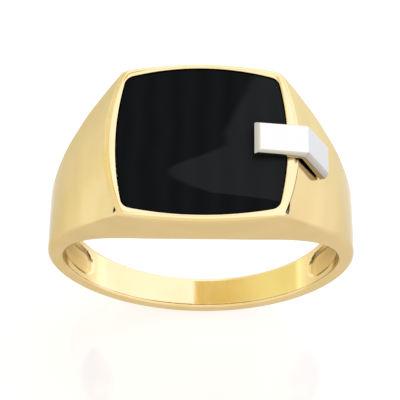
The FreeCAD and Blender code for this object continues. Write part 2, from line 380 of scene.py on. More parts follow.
@dataclass(frozen=True)
class PolishedCastGold:
    """Yellow gold, lost-wax cast, then filed, sanded and buffed to a mirror outside.

    It reads as a warm mirror. Buffing leaves very fine hairlines and a faint swell in the surface, and the
    hollows that no wheel reaches keep the fine grain of the investment mould. Its colour is also painted dark,
    as painted shade, in the gap at the rim's foot, deep in the hollows and in their corners, and in a line
    along the rim's foot.
    """

    name: str = "polished_cast_yellow_gold"
    tone: str = "#dbc18c"
    shade_tone: str = "#d7bd86"
    cast_tone: str = "#c09a56"
    # painted shade: the dark colour laid into the gap, the hollows and the line along the rim's foot
    recess_shade_tone: str = "#37322b"
    grazing_tone: str = "#e0dac6"
    roughness: Tuple[float, float] = (0.0675, 0.135)   # between hairlines, and along them
    edge_wear: float = 0.06        # added where fingers and cloth rub
    cast_roughness: float = 0.22   # added in the hollows
    grain_strength: float = 0.55
    shadow_line_out: float = 0.02         # mm from the rim's foot to the middle of the painted shadow line
    shadow_line_soft: float = 0.02        # mm over which the line's edge fades
    shadow_line_strength: float = 0.75
    swell_mm: float = 2.4          # distance between the faint swells that a felt wheel leaves
    hairline_mm: float = 0.10      # real hairlines are near 0.01 mm; drawn coarser so that they show
    hairline_run: float = 0.06     # scale along a hairline, as a share of the scale across it
    grain_mm: float = 0.16         # investment grain in the hollows

    def painted_shade_mask(self, tree: bpy.types.NodeTree) -> bpy.types.Node:
        """Finds where shade is painted dark: in the gap and corners, and in a painted shadow line along the
        rim's foot.

        Args:
            tree: the material's node tree.

        Returns:
            A node whose value runs from 0, unshaded, to 1.
        """
        recess_shade = add_node(tree, "ShaderNodeAttribute", {"attribute_name": "painted_shade"}, {})
        seam = add_node(tree, "ShaderNodeAttribute", {"attribute_name": "seam_side"}, {})
        width = add_node(tree, "ShaderNodeAttribute", {"attribute_name": "shadow_line_width"}, {})
        aside = add_node(tree, "ShaderNodeMath", {"operation": "SUBTRACT", 1: self.shadow_line_out},
                         {0: (seam, "Fac")})
        apart = add_node(tree, "ShaderNodeMath", {"operation": "ABSOLUTE"}, {0: (aside, "Value")})
        beyond = add_node(tree, "ShaderNodeMath", {"operation": "SUBTRACT"},
                          {0: (apart, "Value"), 1: (width, "Fac")})
        line = add_node(tree, "ShaderNodeMapRange",
                        {**EASED, "From Min": 0.0, "From Max": self.shadow_line_soft,
                         "To Min": self.shadow_line_strength, "To Max": 0.0}, {"Value": (beyond, "Value")})
        return add_node(tree, "ShaderNodeMath", {"operation": "MAXIMUM"},
                        {0: (recess_shade, "Fac"), 1: (line, "Result")})

    def make(self) -> bpy.types.Material:
        """Builds the material.

        Returns:
            The new material.
        """
        material, tree = new_material(self.name)
        place = add_node(tree, "ShaderNodeTexCoord", {}, {})
        swell = add_node(tree, "ShaderNodeTexNoise",
                         {"Scale": 1 / (self.swell_mm * MM), "Detail": 1.0, "Roughness": 0.4},
                         {"Vector": (place, "Object")})
        drawn = add_node(tree, "ShaderNodeMapping", {"Scale": (1.0, self.hairline_run, 1.0)},
                         {"Vector": (place, "Object")})
        hairs = add_node(tree, "ShaderNodeTexNoise",
                         {"Scale": 1 / (self.hairline_mm * MM), "Detail": 3.0, "Roughness": 0.6},
                         {"Vector": (drawn, "Vector")})
        grain = add_node(tree, "ShaderNodeTexNoise",
                         {"Scale": 1 / (self.grain_mm * MM), "Detail": 4.0, "Roughness": 0.65},
                         {"Vector": (place, "Object")})
        cast = add_node(tree, "ShaderNodeAttribute", {"attribute_name": "as_cast"}, {})
        worn = add_node(tree, "ShaderNodeAttribute", {"attribute_name": "edge"}, {})
        shaded = add_node(tree, "ShaderNodeMapRange", {**EASED, "From Min": 0.35, "From Max": 0.65},
                          {"Value": (swell, "Fac")})
        tint = add_node(tree, "ShaderNodeMix",
                        {"data_type": "RGBA", COLOUR_A: linear(self.shade_tone), COLOUR_B: linear(self.tone)},
                        {FACTOR: (shaded, "Result")})
        dulled = add_node(tree, "ShaderNodeMix", {"data_type": "RGBA", COLOUR_B: linear(self.cast_tone)},
                          {FACTOR: (cast, "Fac"), COLOUR_A: (tint, MIXED)})
        # painted shade: darkens the colour in the gap, deep in the hollows and their corners, and along the
        # rim's foot
        painted_shade_mixed = add_node(tree, "ShaderNodeMix", {"data_type": "RGBA", COLOUR_B: linear(self.recess_shade_tone)},
                           {FACTOR: (self.painted_shade_mask(tree), "Value"), COLOUR_A: (dulled, MIXED)})
        buffed = add_node(tree, "ShaderNodeMapRange",
                          {**EASED, "From Min": 0.35, "From Max": 0.75,
                           "To Min": self.roughness[0], "To Max": self.roughness[1]}, {"Value": (hairs, "Fac")})
        on_edges = add_node(tree, "ShaderNodeMath", {"operation": "MULTIPLY_ADD", 1: self.edge_wear},
                            {0: (worn, "Fac"), 2: (buffed, "Result")})
        rough = add_node(tree, "ShaderNodeMath", {"operation": "MULTIPLY_ADD", 1: self.cast_roughness},
                         {0: (cast, "Fac"), 2: (on_edges, "Value")})
        grain_depth = add_node(tree, "ShaderNodeMath", {"operation": "MULTIPLY", 1: self.grain_strength},
                               {0: (cast, "Fac")})
        swelled = add_node(tree, "ShaderNodeBump", {"Strength": 0.05, "Distance": 0.05 * MM},
                           {"Height": (swell, "Fac")})
        haired = add_node(tree, "ShaderNodeBump", {"Strength": 0.035, "Distance": 0.006 * MM},
                          {"Height": (hairs, "Fac"), "Normal": (swelled, "Normal")})
        grained = add_node(tree, "ShaderNodeBump", {"Distance": 0.05 * MM},
                           {"Height": (grain, "Fac"), "Strength": (grain_depth, "Value"),
                            "Normal": (haired, "Normal")})
        shader = add_node(tree, "ShaderNodeBsdfPrincipled",
                          {"Metallic": 1.0, "Specular Tint": linear(self.grazing_tone)},
                          {"Base Color": (painted_shade_mixed, MIXED), "Roughness": (rough, "Value"),
                           "Normal": (grained, "Normal")})
        add_node(tree, "ShaderNodeOutputMaterial", {}, {"Surface": (shader, "BSDF")})
        return material


@dataclass(frozen=True)
class PolishedOnyx:
    """Black onyx, sawn, domed and polished: a deep black with a faint cold sheen.

    Its colour is painted lighter past a drawn line across its face, a painted sheen where light would graze it.
    """

    name: str = "polished_black_onyx"
    tone: str = "#080907"
    band_and_sheen_tone: str = "#191a18"
    band_mm: float = 1.6           # thickness of the stone's own layers
    band_share: float = 0.15       # how much the layers show inside one tone
    pit_mm: float = 0.12           # real polishing pits are near 0.01 mm; drawn coarser so that they show
    roughness: Tuple[float, float] = (0.035, 0.08)
    index: float = 1.54
    shine: float = 0.018
    reach_mm: float = 6.0          # how far from its middle the stone is mapped
    edge_mm: Tuple[float, float] = (-0.3, 0.4)         # over which the painted sheen sets in
    sheen_paleness: float = 0.85
    # the painted sheen's edge, as (place along the finger, place across it), in mm
    sheen_line: Tuple = ((-4.7, 6.0), (-4.15, 4.1), (-3.8, 0.63), (-2.2, -2.04), (-0.55, 1.15), (0.93, 1.6),
                         (5.1, 3.3))

    def layer(self, tree: bpy.types.NodeTree, place: bpy.types.Node) -> bpy.types.Node:
        """Finds where the stone's colour is painted lighter, a painted sheen.

        Args:
            tree: the material's node tree.
            place: the node that gives each point's place.

        Returns:
            A node whose result runs from 0 to how light the painted sheen is.
        """
        split = add_node(tree, "ShaderNodeSeparateXYZ", {}, {"Vector": (place, "Object")})
        reach = self.reach_mm * MM
        along = add_node(tree, "ShaderNodeMapRange", {"From Min": -reach, "From Max": reach},
                         {"Value": (split, "Y")})
        curve = add_node(tree, "ShaderNodeValToRGB", {}, {"Fac": (along, "Result")})
        line = curve.color_ramp
        line.interpolation = "CARDINAL"
        while len(line.elements) < len(self.sheen_line):
            line.elements.new(0.5)
        for element, (y_mm, x_mm) in zip(line.elements, self.sheen_line):
            element.position = 0.5 + 0.5 * y_mm / self.reach_mm
            value = 0.5 + 0.5 * x_mm / self.reach_mm
            element.color = (value, value, value, 1)
        bound = add_node(tree, "ShaderNodeMapRange", {"To Min": -reach, "To Max": reach},
                         {"Value": (curve, "Color")})
        past = add_node(tree, "ShaderNodeMath", {"operation": "SUBTRACT"},
                        {0: (split, "X"), 1: (bound, "Result")})
        start, end = self.edge_mm
        return add_node(tree, "ShaderNodeMapRange",
                        {**EASED, "From Min": start * MM, "From Max": end * MM, "To Max": self.sheen_paleness},
                        {"Value": (past, "Value")})

    def make(self) -> bpy.types.Material:
        """Builds the material.

        Returns:
            The new material.
        """
        material, tree = new_material(self.name)
        place = add_node(tree, "ShaderNodeTexCoord", {}, {})
        bands = add_node(tree, "ShaderNodeTexWave",
                         {"wave_type": "BANDS", "Scale": WAVE_TURN / (self.band_mm * MM), "Distortion": 3.0,
                          "Detail": 2.0, "Detail Scale": 1.2}, {"Vector": (place, "Object")})
        pits = add_node(tree, "ShaderNodeTexNoise", {"Scale": 1 / (self.pit_mm * MM), "Detail": 3.0},
                        {"Vector": (place, "Object")})
        # the stone's own bands, plus the painted sheen that lightens its colour past a drawn line
        bands_and_sheen = add_node(tree, "ShaderNodeMath", {"operation": "MULTIPLY_ADD", 1: self.band_share},
                           {0: (bands, "Fac"), 2: (self.layer(tree, place), "Result")})
        tint = add_node(tree, "ShaderNodeMix",
                        {"data_type": "RGBA", COLOUR_A: linear(self.tone), COLOUR_B: linear(self.band_and_sheen_tone)},
                        {FACTOR: (bands_and_sheen, "Value")})
        rough = add_node(tree, "ShaderNodeMapRange",
                         {**EASED, "From Min": 0.4, "From Max": 0.8,
                          "To Min": self.roughness[0], "To Max": self.roughness[1]}, {"Value": (pits, "Fac")})
        bump = add_node(tree, "ShaderNodeBump", {"Strength": 0.02, "Distance": 0.004 * MM},
                        {"Height": (pits, "Fac")})
        shader = add_node(tree, "ShaderNodeBsdfPrincipled",
                          {"IOR": self.index, "Specular IOR Level": self.shine},
                          {"Base Color": (tint, MIXED), "Roughness": (rough, "Result"),
                           "Normal": (bump, "Normal")})
        add_node(tree, "ShaderNodeOutputMaterial", {}, {"Surface": (shader, "BSDF")})
        return material


@dataclass(frozen=True)
class WhiteMetal:
    """A white precious metal: rhodium-plated white gold, or the solder that holds it.

    Rhodium over a buffed face reads as a hard neutral mirror, and unplated solder as a duller, warmer one.
    """

    name: str
    tone: str
    roughness: Tuple[float, float]
    side_shade_tone: str = ""            # painted shade, on bevels and walls; empty for none
    hairline_mm: float = 0.08      # real ones are near 0.01 mm; drawn coarser so that they show
    hairline_run: Tuple[float, float, float] = (0.05, 1.0, 0.3)    # scale along X, Y and Z

    def make(self) -> bpy.types.Material:
        """Builds the material.

        Returns:
            The new material.
        """
        material, tree = new_material(self.name)
        place = add_node(tree, "ShaderNodeTexCoord", {}, {})
        drawn = add_node(tree, "ShaderNodeMapping", {"Scale": self.hairline_run}, {"Vector": (place, "Object")})
        hairs = add_node(tree, "ShaderNodeTexNoise",
                         {"Scale": 1 / (self.hairline_mm * MM), "Detail": 3.0, "Roughness": 0.6},
                         {"Vector": (drawn, "Vector")})
        rough = add_node(tree, "ShaderNodeMapRange",
                         {**EASED, "From Min": 0.3, "From Max": 0.75,
                          "To Min": self.roughness[0], "To Max": self.roughness[1]}, {"Value": (hairs, "Fac")})
        bump = add_node(tree, "ShaderNodeBump", {"Strength": 0.04, "Distance": 0.005 * MM},
                        {"Height": (hairs, "Fac")})
        links = {"Roughness": (rough, "Result"), "Normal": (bump, "Normal")}
        # painted shade: the colour darkens towards the second tone on bevels, walls and the lower leg
        if self.side_shade_tone:
            painted_side_shade = add_node(tree, "ShaderNodeAttribute", {"attribute_name": "painted_side_shade"}, {})
            tint = add_node(tree, "ShaderNodeMix",
                            {"data_type": "RGBA", COLOUR_A: linear(self.tone),
                             COLOUR_B: linear(self.side_shade_tone)}, {FACTOR: (painted_side_shade, "Fac")})
            links["Base Color"] = (tint, MIXED)
        shader = add_node(tree, "ShaderNodeBsdfPrincipled",
                          {"Metallic": 1.0, "Base Color": linear(self.tone)}, links)
        add_node(tree, "ShaderNodeOutputMaterial", {}, {"Surface": (shader, "BSDF")})
        return material


@dataclass(frozen=True)
class DarkEpoxy:
    """Filled two-part epoxy: a matt near-black bed with tiny voids."""

    name: str = "dark_epoxy_cement"
    tone: str = "#1c1b1a"
    void_mm: float = 0.2
    roughness: Tuple[float, float] = (0.45, 0.7)

    def make(self) -> bpy.types.Material:
        """Builds the material.

        Returns:
            The new material.
        """
        material, tree = new_material(self.name)
        place = add_node(tree, "ShaderNodeTexCoord", {}, {})
        voids = add_node(tree, "ShaderNodeTexVoronoi", {"Scale": 1 / (self.void_mm * MM)},
                         {"Vector": (place, "Object")})
        bump = add_node(tree, "ShaderNodeBump", {"Strength": 0.3, "Distance": 0.02 * MM},
                        {"Height": (voids, "Distance")})
        rough = add_node(tree, "ShaderNodeMapRange",
                         {**EASED, "From Max": 0.8, "To Min": self.roughness[0], "To Max": self.roughness[1]},
                         {"Value": (voids, "Distance")})
        shader = add_node(tree, "ShaderNodeBsdfPrincipled", {"Base Color": linear(self.tone)},
                          {"Roughness": (rough, "Result"), "Normal": (bump, "Normal")})
        add_node(tree, "ShaderNodeOutputMaterial", {}, {"Surface": (shader, "BSDF")})
        return material


@dataclass(frozen=True)
class WhiteGlossAcrylic:
    """Cast acrylic sheet with a polished face, lit from underneath: a white floor with a faint mirror image.

    Its glow is given as linear light rather than as hex colours, because it is brighter than white. Distances
    are in metres.
    """

    name: str = "white_gloss_acrylic"
    tone: str = "#7c7c7c"
    roughness: float = 0.08
    index: float = 2.0             # above acrylic's 1.49, for the clear image of a lacquered face
    front: Tuple = (0.69, 0.645, 0.60, 1)
    left: Tuple = (0.88, 0.95, 0.97, 1)
    behind: Tuple = (1.04, 1.16, 1.27, 1)
    left_span: Tuple[float, float] = (-0.045, -0.008)
    right_span: Tuple[float, float] = (-0.035, 0.015)
    behind_span: Tuple[float, float] = (-0.020, 0.045)
    fade_span: Tuple[float, float] = (0.042, 0.11)     # from the ring outwards
    far_glow: float = 0.4

    def make(self) -> bpy.types.Material:
        """Builds the material.

        Returns:
            The new material.
        """
        material, tree = new_material(self.name)
        place = add_node(tree, "ShaderNodeTexCoord", {}, {})
        split = add_node(tree, "ShaderNodeSeparateXYZ", {}, {"Vector": (place, "Object")})
        across, along, left = (
            add_node(tree, "ShaderNodeMapRange",
                     {**EASED, "From Min": start, "From Max": end, "To Min": first, "To Max": 1 - first},
                     {"Value": (split, axis)})
            for axis, (start, end), first in (("X", self.right_span, 0.0), ("Y", self.behind_span, 0.0),
                                              ("X", self.left_span, 1.0)))
        lit = add_node(tree, "ShaderNodeMath", {"operation": "MULTIPLY"},
                       {0: (across, "Result"), 1: (along, "Result")})
        near = add_node(tree, "ShaderNodeMix", {"data_type": "RGBA", COLOUR_A: self.front, COLOUR_B: self.left},
                        {FACTOR: (left, "Result")})
        glow = add_node(tree, "ShaderNodeMix", {"data_type": "RGBA", COLOUR_B: self.behind},
                        {FACTOR: (lit, "Value"), COLOUR_A: (near, MIXED)})
        reach = add_node(tree, "ShaderNodeVectorMath", {"operation": "LENGTH"}, {0: (place, "Object")})
        fade = add_node(tree, "ShaderNodeMapRange",
                        {**EASED, "From Min": self.fade_span[0], "From Max": self.fade_span[1],
                         "To Min": 1.0, "To Max": self.far_glow}, {"Value": (reach, "Value")})
        shader = add_node(tree, "ShaderNodeBsdfPrincipled",
                          {"Base Color": linear(self.tone), "Roughness": self.roughness, "IOR": self.index},
                          {"Emission Color": (glow, MIXED), "Emission Strength": (fade, "Result")})
        add_node(tree, "ShaderNodeOutputMaterial", {}, {"Surface": (shader, "BSDF")})
        return material


# ------------------------------------------------------------------ the ring's pieces
def box_mm(node: str) -> Tuple[np.ndarray, np.ndarray]:
    """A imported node's lowest and highest corners, in mm."""
    low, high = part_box(node)
    return np.array(low) / MM, np.array(high) / MM


@dataclass
class Stone:
    """The onyx plate: cushion outline with bowed sides, domed across the finger."""

    dome_r: float = 67.0
    dome_reach: float = 30.0       # beyond this the dome runs on level
    bow_x: float = 0.56
    bow_y: float = 0.65
    corner_r: float = 0.35
    edge_r: float = 0.07
    pitch: float = 0.09
    upright_pitch: float = 0.063
    half_x: float = field(init=False)
    half_y: float = field(init=False)
    top_z: float = field(init=False)
    low_z: float = field(init=False)

    def __post_init__(self) -> None:
        """Takes the plate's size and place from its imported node."""
        low, high = box_mm("onyx_stone")
        self.half_x, self.half_y = high[0], high[1]
        self.low_z, self.top_z = low[2], high[2]

    def drop(self, x: np.ndarray) -> np.ndarray:
        """How far the dome has fallen at this distance across the finger."""
        return self.dome_r - np.sqrt(self.dome_r ** 2 - np.clip(x, -self.dome_reach, self.dome_reach) ** 2)

    def outline(self, x: np.ndarray, y: np.ndarray) -> np.ndarray:
        """Measures out from the stone's edge, seen from above.

        Args:
            x: places across the finger, in mm.
            y: places along the finger, in mm.

        Returns:
            The distance, in mm, negative over the stone.
        """
        side = np.abs(x) - bowed(self.half_x, self.bow_x, self.half_y - self.bow_y, y)
        end = np.abs(y) - bowed(self.half_y, self.bow_y, self.half_x - self.bow_x, x)
        return round_max(side, end, self.corner_r)

    def shape(self, x: np.ndarray, y: np.ndarray, z: np.ndarray) -> np.ndarray:
        """The plate's field."""
        top = z + self.drop(x) - self.top_z
        return round_max(round_max(self.outline(x, y), top, self.edge_r), self.low_z - z, self.edge_r)

    def build(self) -> bpy.types.Object:
        """Makes, dresses and places the plate.

        Returns:
            The new piece.
        """
        gap = 2 * self.pitch
        axes = (steps(-self.half_x - gap, self.half_x + gap, self.pitch),
                steps(-self.half_y - gap, self.half_y + gap, self.pitch),
                steps(self.low_z - gap, self.top_z + gap, self.upright_pitch))
        piece = to_mesh("onyx_table", self.shape, axes, {})
        dress(piece, PolishedOnyx().make())
        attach(piece, BODY)
        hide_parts("onyx_stone")
        return piece


@dataclass
class GoldBody:
    """The casting: shank, shoulders, head, rim and stone seat, with a hollow under each shoulder.

    Lengths are in mm and angles in degrees round the finger from the middle of the table.
    """

    stone: Stone
    rim_rise: float = 0.12
    rim_crest: float = 0.6         # where the rim is highest, as a share of its width out from the stone
    rim_crown: float = 0.22        # how steeply it falls away on either side of the crest
    rim_widths: Tuple[float, float] = (0.2, 1.2)       # narrowest and widest that the crown is drawn for
    rim_blend_r: float = 0.3
    rim_side_r: float = 0.38
    rim_depth: float = 2.0         # how far it runs down inside the shoulders
    end_polish: float = 0.12       # extra width at front and back, which the rounded edge takes off again
    slot_r: float = 0.08           # half the widest gap between the rim and the shoulder, by the front corners
    slot_depth: float = 0.32
    slot_stop: float = 0.12        # how far short of the front wall it stops
    slot_run: Tuple[float, float] = (4.2, 0.6)         # by the bar: how far forward it starts, and widens over
    nick_run: Tuple[float, float] = (4.75, 0.25)       # the same at the other corner
    shadow_line_run: Tuple[float, float] = (0.9, 1.6)         # the same for the painted shadow line along the rim's foot
    shadow_line_end: float = 0.1          # over which the line fades at its ends
    shadow_line_depth: float = 0.6        # how far below the rim's top it is drawn
    shadow_line_half_w: float = 0.014
    rim_side_w: float = 0.77
    rim_corner_side_w: float = 0.36
    rim_corner_end_w: float = 0.28
    wall_corner_side_w: float = 0.64
    foot_taper: float = 0.39
    shoulder_step: float = 0.13
    shoulder_tuck: float = 0.09
    shoulder_edge_r: float = 0.08
    shank_half_w: float = 1.18
    seat_clear: float = 0.04
    seat_edge_r: float = 0.05
    slot_edge_r: float = 0.02
    cement_t: float = 0.10
    hole_edge_r: float = 0.20
    hollow_floor_t: float = 0.62
    hollow_rise: float = 0.38      # how much nearer to the finger the hollow's floor is at its lower tip
    hollow_rise_run: float = 0.6   # how far above the hollow's neck the floor starts to rise
    hollow_half_w: float = 1.08
    hollow_top_half_w: float = 2.15
    hollow_tip_angle: float = 125.5
    hollow_neck_angle: float = 97.0
    hollow_top_angle: float = 57.0
    hollow_floor_r: float = 0.5
    hollow_edge_r: float = 0.09
    hollow_from: float = 0.4       # nearest it comes to the ring's middle, as a share of the hole's radius
    hollow_cut_r: float = 0.01     # of its edge where it stops there
    cast_skin: Tuple[float, float] = (0.08, 0.12)      # how far outside a hollow its grain ends, and fades over
    bore_clear: float = 0.06       # how far from the finger hole the grain starts
    # painted shade in the gap and the hollows: how dark it is, where it ends and what it fades over
    gap_shade: float = 0.85
    gap_shade_out: Tuple[float, float] = (0.039, 0.03)
    gap_shade_down: Tuple[float, float] = (0.02, 0.06)
    deep_shade: float = 0.62
    deep_shade_in: Tuple[float, float] = (0.1, 0.5)
    deep_shade_back: Tuple[float, float] = (0.6, 0.8)
    hook_shade: float = 0.8        # in a hollow's corner and along its wall, on the back half only
    hook_corner: Tuple[float, float, float] = (0.15, 0.3, 0.25)     # how deep it lies, its reach and its fade
    hook_wall: Tuple[float, float, float] = (0.16, 0.084, 0.07)
    hook_bore_clear: float = 0.12
    hook_low: Tuple[float, float] = (-6.6, 0.5)        # height, and what it fades over
    hook_high: Tuple[float, float] = (-3.4, 1.4)
    hook_from_y: float = 0.3
    deep_skin: float = 0.05        # how far outside a hollow's field its own surface is reckoned to lie
    hook_skin: float = 0.04
    rub_reach: float = 0.12        # how far round a point its surroundings decide whether it is an edge
    pitch: float = 0.11
    fine_pitch: float = 0.045
    margin: float = 0.3
    fine_x: Tuple[float, float] = (4.6, 0.15)          # where the fine grid starts, and how far past the rim
    fine_y: Tuple[float, float] = (4.5, 0.05)
    fine_z: Tuple[float, float] = (0.9, 0.1)           # below and above the rim's top
    head_angles: Tuple[float, ...] = (0, 10, 20)
    head_end_angle: float = 30.0
    shoulder_flow: Tuple = ((0.122, 0.920), (0.260, 0.826), (0.410, 0.726), (0.545, 0.625),
                            (0.667, 0.531), (0.794, 0.409), (0.925, 0.238), (1.0, 0.0))
    width_flow: Tuple = ((30, 0.843, 0.919), (40, 0.733, 0.776), (52, 0.593, 0.596), (64, 0.464, 0.443),
                         (78, 0.328, 0.307), (96, 0.187, 0.172), (115, 0.091, 0.081), (135, 0.037, 0.031),
                         (180, 0.0, 0.0))
    crease_flow: Tuple = ((0, 0.48), (14, 0.42), (22, 0.20), (27, 0.12), (36, 0.15), (50, 0.30), (66, 0.42),
                          (90, 0.46), (180, 0.44))

    def __post_init__(self) -> None:
        """Works out the lines that the shape follows."""
        bore = frame["record"]["mounts"][0]["dims"]["r_mm"]
        low, high = box_mm("ring_body")
        stone = self.stone
        self.bore_r, self.outer_r = bore, -low[2]
        self.rim_z = stone.top_z + self.rim_rise
        self.rim_half_x = stone.half_x + self.rim_side_w
        self.corner_x = stone.half_x - stone.bow_x + self.rim_corner_side_w
        self.wall_corner_x = stone.half_x - stone.bow_x + self.wall_corner_side_w
        self.head_half_y = high[1] + self.end_polish
        self.corner_y = stone.half_y - stone.bow_y + self.rim_corner_end_w + self.end_polish
        top = self.rim_z - float(stone.drop(self.rim_half_x)) - self.shoulder_tuck
        self.shoulder_z = top
        places = [(top, self.rim_half_x)]
        places += [(top * left, self.rim_half_x + (self.outer_r - self.rim_half_x) * out)
                   for out, left in self.shoulder_flow]
        places.sort()
        self.shoulder = Flow([z for z, _ in places], [x for _, x in places])
        self.make_width_lines()
        self.crease = Flow([a for a, _ in self.crease_flow], [r for _, r in self.crease_flow], True)

    def make_width_lines(self) -> None:
        """Half the ring's width round the finger, at the finger hole and at the rim's height."""
        angles, lows, highs = [], [], []
        bow, taper = self.head_half_y - self.corner_y, self.foot_taper + self.end_polish
        for angle in self.head_angles:
            x = self.rim_z * math.sin(math.radians(angle))
            high = float(bowed(self.head_half_y, bow, self.wall_corner_x, np.array(x)))
            angles.append(angle)
            lows.append(high - taper * (1 - (angle / self.head_end_angle) ** 2))
            highs.append(high)
        foot = self.head_half_y - self.foot_taper - self.end_polish
        for angle, low, high in self.width_flow:
            angles.append(angle)
            lows.append(self.shank_half_w + (foot - self.shank_half_w) * low)
            highs.append(self.shank_half_w + (self.corner_y - self.shank_half_w) * high)
        self.width_low, self.width_high = Flow(angles, lows, True), Flow(angles, highs, True)

    def outside(self, x: np.ndarray, y: np.ndarray, z: np.ndarray) -> np.ndarray:
        """Measures out from the shank's and the shoulders' outer surface.

        Args:
            x: places across the finger, in mm.
            y: places along the finger, in mm.
            z: heights, in mm.

        Returns:
            The distance, in mm.
        """
        line, slope = self.shoulder.read(np.maximum(z, 0))
        sag = (self.rim_half_x - self.corner_x) / self.corner_y ** 2
        fade = np.clip(z / self.rim_z, 0, 1.1)  # the shoulders bow more and more up to just over the rim
        upper = (np.abs(x) + sag * fade * y ** 2 - line) / np.sqrt(1 + slope ** 2)
        return np.where(z >= 0, upper, np.hypot(x, z) - self.outer_r)

    def pocket(self, x: np.ndarray, y: np.ndarray, z: np.ndarray) -> Tuple[np.ndarray, np.ndarray]:
        """Shapes the hollows: a round-ended mouth, and a floor that rises towards its lower tip.

        Args:
            x: places across the finger, in mm.
            y: places along the finger, in mm.
            z: heights, in mm.

        Returns:
            The fields of the mouth and of the floor.
        """
        def height(angle: float) -> float:
            """Height of the finger hole's wall at this angle."""
            return self.bore_r * math.cos(math.radians(angle))
        half, wide = self.hollow_half_w, self.hollow_top_half_w
        tip = height(self.hollow_tip_angle) + half
        neck, top = height(self.hollow_neck_angle), height(self.hollow_top_angle) - wide / 2
        share = share_of(z - neck, top - neck)
        grown = half + (wide - half) * share * share * (3 - 2 * share)
        mouth = np.hypot(y, z - np.clip(z, tip, top)) - grown
        start = neck + self.hollow_rise_run
        rise = share_of(start - z, start - (tip - half))
        return mouth, self.outside(x, y, z) + self.hollow_floor_t + self.hollow_rise * rise

    def hollow(self, x: np.ndarray, y: np.ndarray, z: np.ndarray) -> np.ndarray:
        """The field of both hollows."""
        mouth, floor = self.pocket(x, y, z)
        return round_max(round_max(mouth, floor, self.hollow_floor_r),
                         self.bore_r * self.hollow_from - np.abs(x), self.hollow_cut_r)

    def rim_foot(self, x: np.ndarray) -> np.ndarray:
        """Height at which the shoulder meets the rim."""
        return self.rim_z - self.stone.drop(x) - self.shoulder_step

    def side_wall(self, reach: np.ndarray, angle: np.ndarray, y: np.ndarray) -> np.ndarray:
        """Measures out from the ring's front and back walls, which narrow from the head to the shank.

        Args:
            reach: distance from the finger hole's axis, in mm.
            angle: angle round the finger, in degrees.
            y: places along the finger, in mm.

        Returns:
            The distance, in mm.
        """
        low, low_slope = self.width_low.read(angle)
        high, high_slope = self.width_high.read(angle)
        share = (reach - self.bore_r) / (self.rim_z - self.bore_r)
        slope = np.degrees(low_slope + (high_slope - low_slope) * share) / np.maximum(reach, 1.0)
        return (np.abs(y) - low - (high - low) * share) / np.sqrt(1 + slope ** 2)

    def shape(self, x: np.ndarray, y: np.ndarray, z: np.ndarray) -> np.ndarray:
        """The casting's field.

        Args:
            x: places across the finger, in mm.
            y: places along the finger, in mm.
            z: heights, in mm.

        Returns:
            The field, in mm.
        """
        stone = self.stone
        reach, angle = np.hypot(x, z), np.degrees(np.arctan2(np.abs(x), z))
        from_stone = stone.outline(x, y)
        dome = z + stone.drop(x) - self.rim_z
        rim_side = self.seam_side(x, y, z)
        block = round_max(self.outside(x, y, z), dome + self.shoulder_step, self.shoulder_edge_r)
        side = self.side_wall(reach, angle, y)
        within = np.clip(-round_max(rim_side, side, self.rim_blend_r), 0, FAR)
        out = np.clip(from_stone, 0, FAR)
        wide = np.clip(out + within, *self.rim_widths)
        crown = dome + self.rim_crown * wide * (out / wide - self.rim_crest) ** 2
        rim = np.maximum(round_max(rim_side, crown, self.rim_side_r), self.shoulder_z - self.rim_depth - z)
        crease, _ = self.crease.read(angle)
        ring = round_max(np.minimum(block, rim), side, crease)
        seat = np.maximum(from_stone - self.seat_clear, stone.low_z - self.cement_t - z)
        for taken_off, radius in ((self.bore_r - reach, self.hole_edge_r), (-seat, self.seat_edge_r),
                                  (-self.slot(x, y, z), self.slot_edge_r),
                                  (-self.hollow(x, y, z), self.hollow_edge_r)):
            ring = round_max(ring, taken_off, radius)
        return ring

    def slot(self, x: np.ndarray, y: np.ndarray, z: np.ndarray) -> np.ndarray:
        """Shapes the fine gap at the rim's foot: long by the bar's corner, a mere nick at the other.

        Args:
            x: places across the finger, in mm.
            y: places along the finger, in mm.
            z: heights, in mm.

        Returns:
            The gap's field, in mm.
        """
        (slot_from, slot_over), (nick_from, nick_over) = self.slot_run, self.nick_run
        share = np.where(x > 0, (-y - slot_from) / slot_over, (-y - nick_from) / nick_over)
        half = self.slot_r * np.clip(share, -0.2, 1)
        gap = np.maximum(np.abs(self.seam_side(x, y, z) - half) - half, self.rim_foot(x) - self.slot_depth - z)
        return np.maximum(gap, -y - self.corner_y + self.slot_stop)

    def seam_side(self, x: np.ndarray, y: np.ndarray, z: np.ndarray) -> np.ndarray:
        """Distance out from the line where the rim meets the shoulder, as seen from above."""
        return np.abs(x) - bowed(self.rim_half_x, self.rim_half_x - self.corner_x, self.corner_y, y)

    def shadow_line_width(self, x: np.ndarray, y: np.ndarray, z: np.ndarray) -> np.ndarray:
        """Measures the painted shadow line along the rim's foot on the bar's side.

        Args:
            x: places across the finger, in mm.
            y: places along the finger, in mm.
            z: heights, in mm.

        Returns:
            Half the line's width, in mm, negative where there is none.
        """
        start, over = self.shadow_line_run
        along = np.minimum((-y - start) / over, (y + self.corner_y - self.slot_stop) / self.shadow_line_end)
        below = (z + self.stone.drop(x) - self.rim_z + self.shadow_line_depth) / self.shadow_line_end
        return self.shadow_line_half_w * np.where(x > 0, np.clip(np.minimum(along, below), -1, 1), -2)

